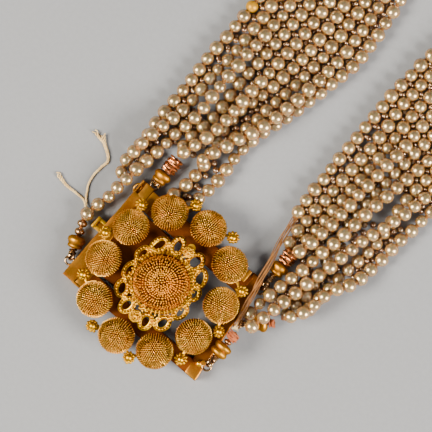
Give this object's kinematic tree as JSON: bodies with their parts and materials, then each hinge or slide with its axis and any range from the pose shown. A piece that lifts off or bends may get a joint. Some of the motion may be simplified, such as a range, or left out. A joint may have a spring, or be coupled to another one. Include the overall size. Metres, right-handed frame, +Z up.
{
  "type": "multi-strand pearl choker necklace",
  "caption": "Close-fitting necklace of many strands of small pearls, gathered at each end to an oblong gold clasp with a ring of pin-covered domes round a larger one.",
  "frame": {"origin": "middle of the area that the laid-out necklace covers, on the surface that it lies on", "axes": "+Z up from the surface, +Y from the clasp towards the far end of the loop, +X across the clasp"},
  "size_m": [0.0776, 0.177, 0.0095],
  "materials": {
    "matte_gold": "matte warm gold, worn, with dark recesses",
    "lemon_gold": "bright lemon gold wire and granules",
    "copper_gold": "satin copper-coloured gold, tarnished in the folds",
    "pearl": "cream pearl lustre",
    "silk_thread": "aged golden brown silk"
  },
  "bodies": {
    "root": {"clasp_box_half": "matte_gold", "clasp_tongue_half": "matte_gold", "dome_1": "matte_gold", "dome_2": "matte_gold", "dome_3": "matte_gold", "dome_4": "matte_gold", "dome_5": "matte_gold", "dome_6": "matte_gold", "dome_7": "matte_gold", "dome_8": "matte_gold", "dome_9": "matte_gold", "dome_10": "matte_gold", "collar": "lemon_gold", "dome_middle": "matte_gold", "terminal_left_top": "copper_gold", "terminal_left_bottom": "copper_gold", "terminal_right_top": "copper_gold", "terminal_right_middle": "copper_gold", "terminal_right_bottom": "copper_gold", "terminal_left_middle": "copper_gold", "thread_bundle": "silk_thread", "strand_1_left_run": "pearl", "strand_1_left_turn": "pearl", "strand_1_right_turn": "pearl", "strand_1_right_run": "pearl", "strand_2_left_run": "pearl", "strand_2_left_turn": "pearl", "strand_2_right_turn": "pearl", "strand_2_right_run": "pearl", "strand_3_left_run": "pearl", "strand_3_left_turn": "pearl", "strand_3_right_turn": "pearl", "strand_3_right_run": "pearl", "strand_4_left_run": "pearl", "strand_4_left_turn": "pearl", "strand_4_right_turn": "pearl", "strand_4_right_run": "pearl", "strand_5_left_run": "pearl", "strand_5_left_turn": "pearl", "strand_5_right_turn": "pearl", "strand_5_right_run": "pearl", "strand_6_left_run": "pearl", "strand_6_left_turn": "pearl", "strand_6_right_turn": "pearl", "strand_6_right_run": "pearl", "strand_7_left_run": "pearl", "strand_7_left_turn": "pearl", "strand_7_right_turn": "pearl", "strand_7_right_run": "pearl", "strand_8_left_run": "pearl", "strand_8_left_turn": "pearl", "strand_8_right_turn": "pearl", "strand_8_right_run": "pearl", "strand_9_left_run": "pearl", "strand_9_left_turn": "pearl", "strand_9_right_turn": "pearl", "strand_9_right_run": "pearl"}
  },
  "joints": []
}
